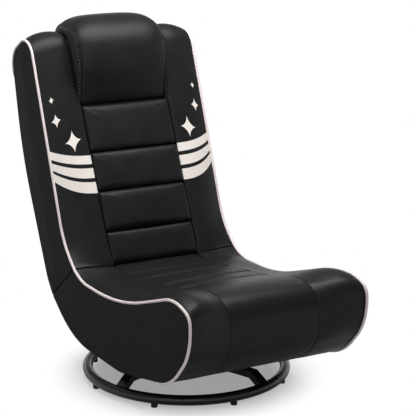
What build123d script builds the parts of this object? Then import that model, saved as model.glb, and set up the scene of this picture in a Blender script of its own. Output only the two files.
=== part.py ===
from build123d import *
import os
from math import atan2, cos, radians, sin, tan

# Floor gaming chair: a folding upholstered seat and back on a swivel ground ring.
# Millimetres. The origin is on the floor under the swivel axis, +Z is up,
# the chair faces -Y, and the fold axis runs along X.

# Widths of the upholstery
CHAIR_WIDTH = 468.0          # over the two side panels
SIDE_PANEL_T = 4.0           # side cover with its backing
BACK_CENTRE_W = 248.0        # pads of the back, seam to seam
SEAT_CENTRE_W = 232.0        # channelled middle of the seat, seam to seam
SEAM_GAP = 0.2               # between sewn neighbours
PIPING_R = 4.0               # pale cord in the edge seam
PIPING_CLEAR = 0.05

# Ground ring and its cross of arms
RING_R = 246.5               # to the tube's centre line
RING_TUBE_R = 12.5
RING_WALL = 1.5
FOOT_COUNT = 8
FOOT_START_DEG = -1.5        # first foot, from the front towards +X
FOOT_R = 8.0
FOOT_H = 8.0                 # floor to the ring's underside
FOOT_STEM_R = 3.0
FOOT_STEM_CLEAR = 0.05
FOOT_STEM_UP = 5.0           # stem above the underside of the ring
ARM_COUNT = 4
ARM_START_DEG = 21.0
ARM_W = 26.0
ARM_H = 16.0
ARM_WALL = 1.5
ARM_RISE = 26.0              # hub end above the ring end
ARM_KNEE = 36.0              # the arm rises within this far of the ring, then runs level
WELD_GAP = 0.05

# Swivel
HUB_R = 36.0
HUB_UP = 9.0                 # underside of the hub above the middle of the ring
HUB_H = 26.0
SPINDLE_R = 12.0
SPINDLE_CLEAR = 0.06         # running clearance in the bush
BUSH_WALL = 3.0
BUSH_FIT = 0.04
RACE_T = 2.0
RACE_W = 14.0
BALL_R = 2.0
BALL_COUNT = 18
BALL_CLEAR = 0.03
RUN_GAP = 0.3                # axial play under the hub
FLANGE_R = 22.0
FLANGE_T = 3.0
SPINDLE_BOLT_R = 5.0
SPINDLE_BOLT_IN = 20.0
SPINDLE_HEAD_R = 8.5
SPINDLE_HEAD_H = 6.0
PLATE_X = 170.0
PLATE_Y = 150.0
PLATE_T = 5.0
PLATE_BOLT_R = 4.0
PLATE_BOLT_HEAD_R = 6.5
PLATE_BOLT_HEAD_H = 5.0
PLATE_BOLT_X = 62.0
BOLT_CLEAR = 0.1
NUT_R = 7.0
NUT_H = 6.5

# Steel frames inside the upholstery
TUBE_R = 11.0
TUBE_WALL = 1.5
TUBE_INSET = 84.0            # frame tube inside the chair's side
TUBE_BEND = 58.0
SEAT_TUBE_BACK = 40.0        # frame of the seat behind the lower corner of the lip
BACK_TUBE_IN = 68.0          # frame of the back behind the rear of the pads
BACK_TUBE_LOW = 86.0         # and below the top of the back
BAR_W = 36.0
BAR_T = 5.0
BAR_Y = 45.0                 # two bars under the seat, this far each side of the swivel
FOAM_CLEAR = 0.4             # around steel inside foam

# Fold hinge
HINGE_Y = 165.0              # fold axis behind the swivel axis
HINGE_UP = 185.5             # fold axis above the underside of the seat
MITRE_DEG = 37.5             # mitre plane below the horizontal
MITRE_LEN = 164.0            # fold axis to the outer corner
MITRE_GAP = 0.8
BACK_LEAN_DEG = 69.4         # front line of the back above the horizontal
LEAF_T = 3.0
LEAF_W = 54.0
LEAF_LEN = 92.0
KNUCKLE_R = 6.0
KNUCKLE_GAP = 0.4
PIN_R = 3.0
PIN_CLEAR = 0.06
PIN_HEAD_R = 4.5
PIN_HEAD_T = 1.6
END_PLATE_T = 3.0
END_PLATE_AT = 60.0          # tube end along the mitre from the fold axis
CREASE_R = 14.5              # relief round the fold axis
CREASE_OUT = 7.0             # fold axis below the crease at the piping
CREASE_MID = 4.0
CREASE_IN = 2.0

# Covers, pads and crowns
COVER_T = 2.0                # underside and rear covers
REAR_LAP = 60.0              # rear cover starts this far below the top corner
BOLSTER_CROWN = 9.0
LIP_CROWN = 16.0             # of the seat's bolsters at the front lip
SEAT_CROWN = 5.0
PAD_DEPTH = 26.0
PAD_CROWN = 12.0
PAD_EDGE_CROWN = 3.0
PAD_ROLL = 20.0              # width over which a pad's ends roll down
PAD_GAP = 0.4
CHANNEL_R = 8.0
CHANNEL_DEPTH = 5.0
PILLOW_HALF = 123.0
PILLOW_CROWN = 22.0
PILLOW_ROLL = 30.0
PILLOW_CLEAR = 0.3
GUSSET_T = 3.0
GUSSET_CLEAR = 1.2           # to the bolsters, which swell beside it

# Back edge at the piping: (up the back, rearward, bend radius) from the fold axis
BACK_EDGE = [(74, 33, 200), (613, 32, 50), (592, 164, 56), (330, 204, 850), (0, 173, 70)]
BACK_PIPING_END = (530.0, 174.0)
# Back front line along the inner seams of the bolsters, as (up, rearward)
PAD_LOW = (84.0, 0.7)
PAD_TOP = (624.0, 34.0)
BACK_TOP_LIFT = 10.0         # the middle of the top stands this much above the piping
BACK_MID_LIFT = 9.0          # and the crown of the bolsters this much
PAD_SEAMS = [16.0, 84.0, 189.0, 291.0, 414.0, 556.0]
# Seat edge at the piping: (forward, up, bend radius) from the fold axis
SEAT_EDGE = [(48, -17, 150), (258, -18, 780), (533, 76, 135), (603, 51, 30),
             (605.5, -32, 135), (513, -133.5, 172)]
SEAT_FLAT_FRONT = 262.0      # flat underside ends, forward of the fold axis
SEAT_FLAT_REAR = -8.0
UNDER_BEND = 250.0           # of the underside at the front of the flat
UNDER_REAR_BEND = 300.0
# and along the seams between the bolsters and the middle
SEAT_INNER = [(62, -5, 150), (339, 33, 565), (476, 63, 288), (570, 58, 60),
              (588, -47, 104), (513, -133.5, 160)]
SEAT_PIPING_END = 440.0      # piping ends under the lip, forward of the fold axis
SEAT_CHANNELS = [79.0, 165.0, 275.0, 352.0]
# Headrest side seam: (up, rearward, bend radius)
PILLOW_FOOT = (412.0, 34.0)
PILLOW_EDGE = [(515, -20, 100), (596, -18, 55), (645, 82, 40)]
PILLOW_HEM = (622.0, 124.0)
# Zip along the lower rear edge of the back
ZIP_UP = 70.0
ZIP_LEN = 420.0
ZIP_W = 10.0
ZIP_T = 1.2
SLIDER_L = 11.0
SLIDER_W = 9.0
SLIDER_T = 3.5
PULL_L = 24.0
PULL_W = 7.0
PULL_T = 1.4
ZIP_CLEAR = 0.3

# Heights and half widths that follow
HALF_W = CHAIR_WIDTH / 2
EDGE_X = HALF_W - SIDE_PANEL_T
BACK_IN = BACK_CENTRE_W / 2
SEAT_IN = SEAT_CENTRE_W / 2
RING_Z = FOOT_H + RING_TUBE_R
HUB_Z0 = RING_Z + HUB_UP
HUB_Z1 = HUB_Z0 + HUB_H
RACE_R0 = SPINDLE_R + BUSH_WALL + 3.0
RACE_Z1 = HUB_Z1 + 2 * RACE_T + 2 * BALL_R
PLATE_Z1 = RACE_Z1 + PLATE_T
HINGE_Z = PLATE_Z1 + HINGE_UP
TUBE_X = HALF_W - TUBE_INSET
BAR_Z0 = PLATE_Z1 + COVER_T
TUBE_Z = BAR_Z0 + BAR_T + TUBE_R
H = Vector(0, HINGE_Y, HINGE_Z)

UP_Y = cos(radians(BACK_LEAN_DEG))
UP_Z = sin(radians(BACK_LEAN_DEG))
M_Y = cos(radians(MITRE_DEG))
M_Z = -sin(radians(MITRE_DEG))
mitre_plane = Plane(origin=H, x_dir=(1, 0, 0), z_dir=(0, -M_Z, M_Y))
back_plane = Plane(origin=H, x_dir=(1, 0, 0), z_dir=(0, -UP_Z, UP_Y))

os.makedirs("parts", exist_ok=True)


def save(shape, node):
    export_step(shape, f"parts/{node}.step")


def on_back(x, up, rear):
    return Vector(x, HINGE_Y + up * UP_Y + rear * UP_Z, HINGE_Z + up * UP_Z - rear * UP_Y)


def on_seat(x, fore, up):
    return Vector(x, HINGE_Y - fore, HINGE_Z + up)


def mitre_on_back(along):
    """A point of the mitre line as (up, rearward)."""
    return (along * (M_Y * UP_Y + M_Z * UP_Z), along * (M_Y * UP_Z - M_Z * UP_Y))


def mitre_on_seat(along):
    """A point of the mitre line as (forward, up)."""
    return (-along * M_Y, along * M_Z)


def mitre_box(x0, x1, w0, w1, n0, n1):
    box = Box(x1 - x0, w1 - w0, n1 - n0)
    return mitre_plane * Pos((x0 + x1) / 2, (w0 + w1) / 2, (n0 + n1) / 2) * box


def back_box(x0, x1, u0, u1, v0, v1):
    box = Box(x1 - x0, u1 - u0, v1 - v0)
    return back_plane * Pos((x0 + x1) / 2, (u0 + u1) / 2, -(v0 + v1) / 2) * box


def rounded_path(place, x, start, corners, end):
    points = [start] + [(a, b) for a, b, r in corners] + [end]
    return FilletPolyline(*[place(x, a, b) for a, b in points], radius=[r for a, b, r in corners])


def outline(place, x, start, corners, end):
    """A face bounded by a rounded path and the straight line that closes it."""
    path = rounded_path(place, x, start, corners, end)
    return Face(Wire(path.edges() + [Line(place(x, *end), place(x, *start)).edge()]))


def tube(path, radius):
    disc = Plane(origin=path @ 0, z_dir=path % 0) * Circle(radius)
    return sweep(disc, path=path)


def hollow_tube(path, radius, wall):
    ring = Plane(origin=path @ 0, z_dir=path % 0) * (Circle(radius) - Circle(radius - wall))
    return sweep(ring, path=path)


def rod_x(radius, x0, x1, y, z):
    return Pos((x0 + x1) / 2, y, z) * Rot(0, 90, 0) * Cylinder(radius, x1 - x0)


def post(radius, z0, z1, x=0.0, y=0.0):
    return Pos(x, y, (z0 + z1) / 2) * Cylinder(radius, z1 - z0)


def collar(radius, bore, z0, z1):
    return post(radius, z0, z1) - post(bore, z0 - 1, z1 + 1)


# Ground ring on its rubber feet
foot_angles = [radians(FOOT_START_DEG + 360 / FOOT_COUNT * k) for k in range(FOOT_COUNT)]
ring_outer = Pos(0, 0, RING_Z) * Torus(RING_R, RING_TUBE_R)
foot_holes = []
stem_top = FOOT_H + FOOT_STEM_UP
foot_seat = Pos(0, 0, RING_Z) * Torus(RING_R, RING_TUBE_R + WELD_GAP)
for k, turn in enumerate(foot_angles, start=1):
    fx = RING_R * sin(turn)
    fy = -RING_R * cos(turn)
    foot_holes.append(post(FOOT_STEM_R + FOOT_STEM_CLEAR, 0, RING_Z, fx, fy))
    pad = post(FOOT_R, 0, FOOT_H + FOOT_R / 2, fx, fy) - foot_seat
    save(pad + post(FOOT_STEM_R, FOOT_H / 2, stem_top, fx, fy), f"foot_{k}")
ring = ring_outer - foot_holes - Pos(0, 0, RING_Z) * Torus(RING_R, RING_TUBE_R - RING_WALL)
save(ring, "base_ring")

# Four welded arms, each bent up beside the ring and then level to the hub
arm_slope = atan2(ARM_RISE, ARM_KNEE)
knee_r = RING_R - ARM_KNEE
arm_z = RING_Z + ARM_RISE


def bent_arm(width, height):
    """A solid bar of this section along the arm's bent middle line, towards +X."""
    half = height / 2
    mitre = half * tan(arm_slope / 2)
    end_r = half * sin(arm_slope)
    end_z = half * cos(arm_slope)
    side = Polyline(
        (RING_R + end_r, 0, RING_Z + end_z), (knee_r + mitre, 0, arm_z + half), (0, 0, arm_z + half),
        (0, 0, arm_z - half), (knee_r - mitre, 0, arm_z - half), (RING_R - end_r, 0, RING_Z - end_z),
        close=True)
    return extrude(Face(Wire(side.edges())), amount=width / 2, dir=(0, 1, 0), both=True)


ring_cut = Pos(0, 0, RING_Z) * Torus(RING_R, RING_TUBE_R + WELD_GAP)
ring_hole = post(RING_R + RING_TUBE_R * 3, 0, RING_Z * 4) - post(RING_R, 0, RING_Z * 4)
for k in range(ARM_COUNT):
    bar = bent_arm(ARM_W, ARM_H) - bent_arm(ARM_W - 2 * ARM_WALL, ARM_H - 2 * ARM_WALL)
    bar = bar - post(HUB_R + WELD_GAP, 0, RING_Z * 6) - ring_cut - ring_hole
    bar = max(bar.solids(), key=lambda piece: piece.volume)
    save(Rot(0, 0, ARM_START_DEG - 90 + 360 / ARM_COUNT * k) * bar, f"base_arm_{k + 1}")

# Hub, bush and thrust bearing that stay with the base
hub_bore = SPINDLE_R + BUSH_WALL + BUSH_FIT
save(collar(HUB_R, hub_bore, HUB_Z0, HUB_Z1), "base_hub")
save(collar(SPINDLE_R + BUSH_WALL, SPINDLE_R + SPINDLE_CLEAR, HUB_Z0, HUB_Z1), "swivel_bush")
save(collar(RACE_R0 + RACE_W, RACE_R0, HUB_Z1, HUB_Z1 + RACE_T), "thrust_race_lower")
ball_z = HUB_Z1 + RACE_T + BALL_R
ball = Pos(RACE_R0 + RACE_W / 2, 0, ball_z) * Sphere(BALL_R - BALL_CLEAR)
save(Compound(children=[Rot(0, 0, 360 / BALL_COUNT * k) * ball for k in range(BALL_COUNT)]), "thrust_balls")

# Spindle and plate that turn with the seat
save(collar(RACE_R0 + RACE_W, RACE_R0, RACE_Z1 - RACE_T, RACE_Z1), "thrust_race_upper")
spindle_z0 = HUB_Z0 - RUN_GAP
spindle_bore = post(SPINDLE_BOLT_R + BOLT_CLEAR, spindle_z0 - 1, spindle_z0 + SPINDLE_BOLT_IN + 1)
save(post(SPINDLE_R, spindle_z0, RACE_Z1) - spindle_bore, "swivel_spindle")
flange_z = spindle_z0 - FLANGE_T
spindle_bolt = post(FLANGE_R, flange_z, spindle_z0)
spindle_bolt += post(SPINDLE_BOLT_R, flange_z, spindle_z0 + SPINDLE_BOLT_IN)
head_sketch = RegularPolygon(SPINDLE_HEAD_R, 6)
spindle_bolt += extrude(Pos(0, 0, flange_z - SPINDLE_HEAD_H) * head_sketch, SPINDLE_HEAD_H)
save(spindle_bolt, "swivel_bolt")
bolt_spots = [(sx * PLATE_BOLT_X, sy * BAR_Y) for sx in (-1, 1) for sy in (-1, 1)]
bolt_top = BAR_Z0 + BAR_T + NUT_H + 3.0
bolt_holes = [post(PLATE_BOLT_R + BOLT_CLEAR, RACE_Z1 - 1, bolt_top, x, y) for x, y in bolt_spots]
plate = Pos(0, 0, PLATE_Z1 - PLATE_T / 2) * Box(PLATE_X, PLATE_Y, PLATE_T)
plate = fillet(plate.edges().filter_by(Axis.Z), PLATE_Y / 12) - bolt_holes
save(plate, "swivel_plate")
bolts = []
nut_room = []
for x, y in bolt_spots:
    bolt = post(PLATE_BOLT_HEAD_R, RACE_Z1 - PLATE_BOLT_HEAD_H, RACE_Z1, x, y)
    bolt += post(PLATE_BOLT_R, RACE_Z1 - PLATE_BOLT_HEAD_H, bolt_top - 1, x, y)
    nut = extrude(Pos(x, y, BAR_Z0 + BAR_T) * RegularPolygon(NUT_R, 6), NUT_H)
    bolts.append(bolt + nut)
    nut_room.append(post(NUT_R + FOAM_CLEAR, BAR_Z0 - COVER_T, bolt_top + 1, x, y))
save(Compound(children=bolts), "plate_bolts")

# Steel under the seat: two bars and a bent tube that follows the underside
tube_flat = TUBE_Z - HINGE_Z
plate_depth = MITRE_GAP / 2 + LEAF_T + END_PLATE_T
seat_tube_start = mitre_plane.from_local_coords((TUBE_X, END_PLATE_AT, -plate_depth))
drop = (seat_tube_start.Z - TUBE_Z) / M_Y
seat_turn = seat_tube_start.Y - HINGE_Y + drop * M_Z
slope = (SEAT_EDGE[5][1] + HINGE_UP) / (SEAT_EDGE[5][0] - SEAT_FLAT_FRONT)
nose = SEAT_EDGE[5][0] - SEAT_TUBE_BACK
seat_nose = (nose, tube_flat + slope * (nose - SEAT_FLAT_FRONT))


def seat_rail(side):
    first = Vector(side * TUBE_X, seat_tube_start.Y, seat_tube_start.Z)
    return [first, on_seat(side * TUBE_X, -seat_turn, tube_flat),
            on_seat(side * TUBE_X, SEAT_FLAT_FRONT, tube_flat), on_seat(side * TUBE_X, *seat_nose)]


seat_path = FilletPolyline(*seat_rail(-1), *reversed(seat_rail(1)), radius=TUBE_BEND)
seat_tube = hollow_tube(seat_path, TUBE_R, TUBE_WALL)
seat_room = tube(seat_path, TUBE_R + FOAM_CLEAR)
back_tube_start = mitre_plane.from_local_coords((TUBE_X, END_PLATE_AT, plate_depth))
back_depth = PAD_LOW[1] + PAD_DEPTH + BACK_TUBE_IN
start_local = back_plane.to_local_coords(back_tube_start)
run = (back_depth + start_local.Z) / (-M_Z * UP_Z - M_Y * UP_Y)
back_turn = start_local.Y + run * (-M_Z * UP_Y + M_Y * UP_Z)
back_nose = BACK_EDGE[1][0] - BACK_TUBE_LOW


def back_rail(side):
    first = Vector(side * TUBE_X, back_tube_start.Y, back_tube_start.Z)
    return [first, on_back(side * TUBE_X, back_turn, back_depth),
            on_back(side * TUBE_X, back_nose, back_depth)]


back_path = FilletPolyline(*back_rail(-1), *reversed(back_rail(1)), radius=TUBE_BEND)
back_tube = hollow_tube(back_path, TUBE_R, TUBE_WALL)
back_room = tube(back_path, TUBE_R + FOAM_CLEAR)
end_half = TUBE_R + 4.0
leaf_in = LEAF_LEN
for side, name in ((-1, "left"), (1, "right")):
    x0 = side * TUBE_X - LEAF_W / 2
    x1 = x0 + LEAF_W
    third = LEAF_W / 3
    seat_leaf = mitre_box(x0, x1, 0, leaf_in, -MITRE_GAP / 2 - LEAF_T, -MITRE_GAP / 2)
    back_leaf = mitre_box(x0, x1, 0, leaf_in, MITRE_GAP / 2, MITRE_GAP / 2 + LEAF_T)
    half_gap = KNUCKLE_GAP / 2
    middle = rod_x(KNUCKLE_R, x0 + third + half_gap, x1 - third - half_gap, HINGE_Y, HINGE_Z)
    outer = rod_x(KNUCKLE_R, x0, x0 + third - half_gap, HINGE_Y, HINGE_Z)
    outer += rod_x(KNUCKLE_R, x1 - third + half_gap, x1, HINGE_Y, HINGE_Z)
    room = KNUCKLE_R + KNUCKLE_GAP
    middle_room = rod_x(room, x0 + third - half_gap, x1 - third + half_gap, HINGE_Y, HINGE_Z)
    outer_room = rod_x(room, x0 - 1, x0 + third + half_gap, HINGE_Y, HINGE_Z)
    outer_room += rod_x(room, x1 - third - half_gap, x1 + 1, HINGE_Y, HINGE_Z)
    bore = rod_x(PIN_R + PIN_CLEAR, x0 - 1, x1 + 1, HINGE_Y, HINGE_Z)
    save((seat_leaf - middle_room) + outer - bore, f"seat_hinge_leaf_{name}")
    save((back_leaf - outer_room) + middle - bore, f"back_hinge_leaf_{name}")
    pin = rod_x(PIN_R, x0 - PIN_HEAD_T, x1 + PIN_HEAD_T, HINGE_Y, HINGE_Z)
    pin += rod_x(PIN_HEAD_R, x0 - PIN_HEAD_T, x0, HINGE_Y, HINGE_Z)
    pin += rod_x(PIN_HEAD_R, x1, x1 + PIN_HEAD_T, HINGE_Y, HINGE_Z)
    save(pin, f"hinge_pin_{name}")
    near = side * TUBE_X
    w0 = END_PLATE_AT - end_half - 12
    w1 = END_PLATE_AT + end_half + 12
    near0 = near - end_half
    near1 = near + end_half
    seat_tube += mitre_box(near0, near1, w0, w1, -plate_depth, -plate_depth + END_PLATE_T)
    back_tube += mitre_box(near0, near1, w0, w1, plate_depth - END_PLATE_T, plate_depth)
save(seat_tube, "seat_frame")
save(back_tube, "back_frame")
for name, y in (("front", -BAR_Y), ("rear", BAR_Y)):
    bar = Pos(0, y, BAR_Z0 + BAR_T / 2) * Box(2 * (TUBE_X + TUBE_R), BAR_W, BAR_T)
    save(bar - bolt_holes, f"seat_crossbar_{name}")
cross_up = (PAD_SEAMS[2] + PAD_SEAMS[3]) / 2
cross_at = on_back(0, cross_up, back_depth)
crossbar = rod_x(TUBE_R - 2, -TUBE_X, TUBE_X, cross_at.Y, cross_at.Z)
crossbar -= rod_x(TUBE_R - 2 - TUBE_WALL, -TUBE_X, TUBE_X, cross_at.Y, cross_at.Z)
crossbar = crossbar - tube(back_path, TUBE_R + WELD_GAP)
crossbar = max(crossbar.solids(), key=lambda piece: piece.volume)
save(crossbar, "back_crossbar")
cross_room = rod_x(TUBE_R - 2 + FOAM_CLEAR, -TUBE_X, TUBE_X, cross_at.Y, cross_at.Z)

# Room in the foam for the hinge, the steel and the fold
hinge_room = []
for side in (-1, 1):
    near = side * TUBE_X
    reach = LEAF_W / 2 + PIN_HEAD_T + FOAM_CLEAR
    deep = plate_depth + FOAM_CLEAR
    hinge_room.append(mitre_box(near - reach, near + reach, -CREASE_R, leaf_in + FOAM_CLEAR, -deep, deep))
fold_room = rod_x(CREASE_R, -HALF_W - 1, HALF_W + 1, HINGE_Y, HINGE_Z)
mitre_room = mitre_box(-HALF_W - 1, HALF_W + 1, -MITRE_LEN / 3, MITRE_LEN * 1.25,
                       -MITRE_GAP / 2, MITRE_GAP / 2)
bar_room = [Pos(0, y, BAR_Z0 + BAR_T / 2)
            * Box(2 * (TUBE_X + TUBE_R + FOAM_CLEAR), BAR_W + 2 * FOAM_CLEAR, BAR_T + 2 * FOAM_CLEAR)
            for y in (-BAR_Y, BAR_Y)]
fold_cuts = [fold_room, mitre_room] + hinge_room
seat_cuts = fold_cuts + [seat_room] + bar_room + nut_room
back_cuts = fold_cuts + [back_room, cross_room]

# Back: outlines across the width, from the piping to the inner seam
back_end = mitre_on_back(MITRE_LEN)
back_foam_end = mitre_on_back(MITRE_LEN - COVER_T - SEAM_GAP)
lift = COVER_T + SEAM_GAP


def foam_rear(corners):
    return corners[:2] + [(a, b - lift, r) for a, b, r in corners[2:]]


mid_low = ((BACK_EDGE[0][0] + PAD_LOW[0]) / 2, (BACK_EDGE[0][1] + PAD_LOW[1]) / 2 - BOLSTER_CROWN)
mid_top = ((BACK_EDGE[1][0] + PAD_TOP[0]) / 2, (BACK_EDGE[1][1] + PAD_TOP[1]) / 2 - BOLSTER_CROWN)
front_r = BACK_EDGE[0][2]
top_r = BACK_EDGE[1][2]
rear_lean = (BACK_EDGE[3][1] - BACK_EDGE[2][1]) / (BACK_EDGE[2][0] - BACK_EDGE[3][0])
top_rear = (BACK_EDGE[2][0] + BACK_TOP_LIFT, BACK_EDGE[2][1] - BACK_TOP_LIFT * rear_lean, BACK_EDGE[2][2])
back_inner = [(*PAD_LOW, front_r), (*PAD_TOP, top_r), top_rear] + BACK_EDGE[3:]
back_mid = [(*mid_low, front_r), (mid_top[0] + BACK_MID_LIFT, mid_top[1], top_r), top_rear] + BACK_EDGE[3:]


def back_side(x):
    return outline(on_back, x, mitre_on_back(-CREASE_OUT), BACK_EDGE, back_end)


def back_section(x, crease, corners):
    return outline(on_back, x, mitre_on_back(-crease), foam_rear(corners), back_foam_end)


back_pipe_start = (0.21 * BACK_EDGE[0][0], -6.0 + 0.21 * (BACK_EDGE[0][1] + 6.0))
for side, name in ((-1, "left"), (1, "right")):
    x_edge = side * EDGE_X
    x_mid = side * (EDGE_X + BACK_IN) / 2
    path = rounded_path(on_back, x_edge, back_pipe_start, BACK_EDGE[:3], BACK_PIPING_END)
    save(tube(path, PIPING_R), f"back_piping_{name}")
    groove = tube(path, PIPING_R + PIPING_CLEAR)
    bolster = loft([
        back_section(x_edge, CREASE_OUT, BACK_EDGE),
        back_section(x_mid, CREASE_MID, back_mid),
        back_section(side * BACK_IN, CREASE_IN, back_inner),
    ])
    save(bolster - back_cuts - groove, f"back_bolster_{name}")
    panel = extrude(back_side(side * (EDGE_X + SEAM_GAP)), SIDE_PANEL_T - SEAM_GAP, dir=(side, 0, 0))
    panel = panel - groove - fold_room - mitre_room
    save(max(panel.solids(), key=lambda piece: piece.volume), f"back_side_panel_{name}")

# Back: core behind the pads
core_half = BACK_IN - SEAM_GAP
pad_slope = (PAD_TOP[1] - PAD_LOW[1]) / (PAD_TOP[0] - PAD_LOW[0])


def pad_line(up):
    return PAD_LOW[1] + (up - PAD_LOW[0]) * pad_slope


def pad_back(up):
    return pad_line(up) + PAD_DEPTH


core = extrude(back_section(-core_half, CREASE_IN, back_inner), 2 * core_half, dir=(1, 0, 0))
u_low = PAD_SEAMS[0]
u_high = PAD_SEAMS[-1] + PAD_GAP
well = [(u_low, pad_back(u_low)), (u_high, pad_back(u_high)), (u_high, -90.0), (u_low, -90.0)]
well_face = Face(Wire(Polyline(*[on_back(-core_half - 1, a, b) for a, b in well], close=True).edges()))
core -= extrude(well_face, 2 * core_half + 2, dir=(1, 0, 0))
save(core - back_cuts, "back_core_foam")

# Back: a column of sewn pads, each crowned and rolled down at its ends


def pad_section(x, low, high, crown):
    mid = (low + high) / 2
    a = on_back(x, low, pad_line(low))
    b = on_back(x, high, pad_line(high))
    c = on_back(x, high, pad_back(high) - SEAM_GAP)
    d = on_back(x, low, pad_back(low) - SEAM_GAP)
    front = ThreePointArc(a, on_back(x, mid, pad_line(mid) - crown), b)
    return Face(Wire([front.edge()] + Polyline(b, c, d, a).edges()))


for k, (low, high) in enumerate(zip(PAD_SEAMS[:-1], PAD_SEAMS[1:]), start=1):
    low += PAD_GAP / 2
    high -= PAD_GAP / 2
    share = min(1.0, (high - low) / (PAD_SEAMS[2] - PAD_SEAMS[1]))
    crown = PAD_CROWN * share * share
    if k == len(PAD_SEAMS) - 1:
        crown = -PAD_EDGE_CROWN
    edge = min(PAD_EDGE_CROWN, crown)
    rolls = [(-core_half, edge), (-core_half + PAD_ROLL, crown), (0, crown)]
    rolls += [(core_half - PAD_ROLL, crown), (core_half, edge)]
    pad = loft([pad_section(x, low, high, c) for x, c in rolls])
    save(pad - fold_room, f"back_pad_{k}")

# Back: cover over the rear, with the zip that closes it
rear_top = BACK_EDGE[2]
rear_fall = (BACK_EDGE[3][1] - rear_top[1]) / (rear_top[0] - BACK_EDGE[3][0])
rear_start = (rear_top[0] - REAR_LAP, rear_top[1] + REAR_LAP * rear_fall)
outside = rounded_path(on_back, -EDGE_X, rear_start, BACK_EDGE[3:], back_end)
thin = [(a, b - COVER_T, r) for a, b, r in BACK_EDGE[3:]]
thin_start = (rear_start[0], rear_start[1] - COVER_T)
inside = rounded_path(on_back, -EDGE_X, thin_start, thin, mitre_on_back(MITRE_LEN - COVER_T))
closing = [Line(outside @ 0, inside @ 0).edge(), Line(outside @ 1, inside @ 1).edge()]
cover = extrude(Face(Wire(outside.edges() + inside.edges() + closing)), 2 * EDGE_X, dir=(1, 0, 0))
pipes_back = [tube(rounded_path(on_back, side * EDGE_X, back_pipe_start, BACK_EDGE[:3], BACK_PIPING_END),
                   PIPING_R + PIPING_CLEAR) for side in (-1, 1)]
save(cover - mitre_room - pipes_back, "back_rear_cover")
rear_slope = (BACK_EDGE[3][1] - BACK_EDGE[4][1]) / (BACK_EDGE[3][0] - BACK_EDGE[4][0])
zip_at = on_back(0, ZIP_UP, BACK_EDGE[4][1] + rear_slope * (ZIP_UP - BACK_EDGE[4][0]))
along = on_back(0, 1, rear_slope) - on_back(0, 0, 0)
zip_plane = Plane(origin=zip_at, x_dir=(1, 0, 0), z_dir=Vector(1, 0, 0).cross(along) * -1)
save(zip_plane * Pos(0, 0, ZIP_T / 2) * Box(ZIP_LEN, ZIP_W, ZIP_T), "zip_tape")
slider_x = -ZIP_LEN / 2 + SLIDER_L / 2 + 2.0
slider = Pos(slider_x, 0, ZIP_T + ZIP_CLEAR + SLIDER_T / 2) * Box(SLIDER_L, SLIDER_W, SLIDER_T)
tab = Pos(slider_x, PULL_L / 2, ZIP_T + ZIP_CLEAR + SLIDER_T + PULL_T / 2) * Box(PULL_W, PULL_L, PULL_T)
save(zip_plane * (slider + tab), "zip_slider")

# Headrest: a crowned pillow capping the top of the back, with mesh side gussets
cap_room = extrude(back_section(-BACK_IN, CREASE_IN, back_inner), 2 * BACK_IN, dir=(1, 0, 0))
pillow_hold = offset(cap_room, PILLOW_CLEAR)


def pillow_section(x, swell):
    rows = [(0, -swell * 0.8), (swell * 1.5, -swell * 0.8), (swell * 0.86, swell * 0.1)]
    corners = [(a + da, b + db, r) for (a, b, r), (da, db) in zip(PILLOW_EDGE, rows)]
    path = rounded_path(on_back, x, PILLOW_FOOT, corners, PILLOW_HEM)
    corner = on_back(x, PILLOW_FOOT[0], PILLOW_HEM[1] - 40)
    inner = Polyline(on_back(x, *PILLOW_HEM), corner, on_back(x, *PILLOW_FOOT))
    return Face(Wire(path.edges() + inner.edges()))


swells = [(-PILLOW_HALF, 0), (-PILLOW_HALF + PILLOW_ROLL, 0.7), (0, 1.0)]
swells += [(PILLOW_HALF - PILLOW_ROLL, 0.7), (PILLOW_HALF, 0)]
pillow = loft([pillow_section(x, share * PILLOW_CROWN) for x, share in swells])
pillow = pillow - pillow_hold
pillow = max(pillow.solids(), key=lambda piece: piece.volume)
save(pillow, "headrest_cushion")
gusset_out = PILLOW_HALF + GUSSET_T + GUSSET_CLEAR
wide_room = extrude(back_section(-gusset_out, CREASE_IN, back_inner), 2 * gusset_out, dir=(1, 0, 0))
gusset_hold = offset(wide_room, GUSSET_CLEAR)
for side, name in ((-1, "left"), (1, "right")):
    gusset = extrude(pillow_section(side * (PILLOW_HALF + SEAM_GAP), 0), GUSSET_T, dir=(side, 0, 0))
    gusset = gusset - gusset_hold
    gusset = max(gusset.solids(), key=lambda piece: piece.volume)
    save(gusset, f"headrest_gusset_{name}")

# Seat: outlines across the width
seat_end = mitre_on_seat(MITRE_LEN)
seat_foam_end = mitre_on_seat(MITRE_LEN - COVER_T - SEAM_GAP)
under = [(SEAT_FLAT_FRONT, -HINGE_UP, UNDER_BEND), (SEAT_FLAT_REAR, -HINGE_UP, UNDER_REAR_BEND)]
foam_under = [(a, b + lift, r) for a, b, r in under]
seat_edge = SEAT_EDGE + under
crowns = [BOLSTER_CROWN, BOLSTER_CROWN, LIP_CROWN, LIP_CROWN, 0.0, 0.0]
seat_mid = [((a + c) / 2, (b + d) / 2 + crown, (r + q) / 2)
            for (a, b, r), (c, d, q), crown in zip(SEAT_EDGE, SEAT_INNER, crowns)]


def seat_side(x):
    return outline(on_seat, x, mitre_on_seat(-CREASE_OUT), seat_edge, seat_end)


def seat_section(x, crease, corners):
    lifted = corners[:5] + [(corners[5][0], corners[5][1] + lift, corners[5][2])] + foam_under
    return outline(on_seat, x, mitre_on_seat(-crease), lifted, seat_foam_end)


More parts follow.
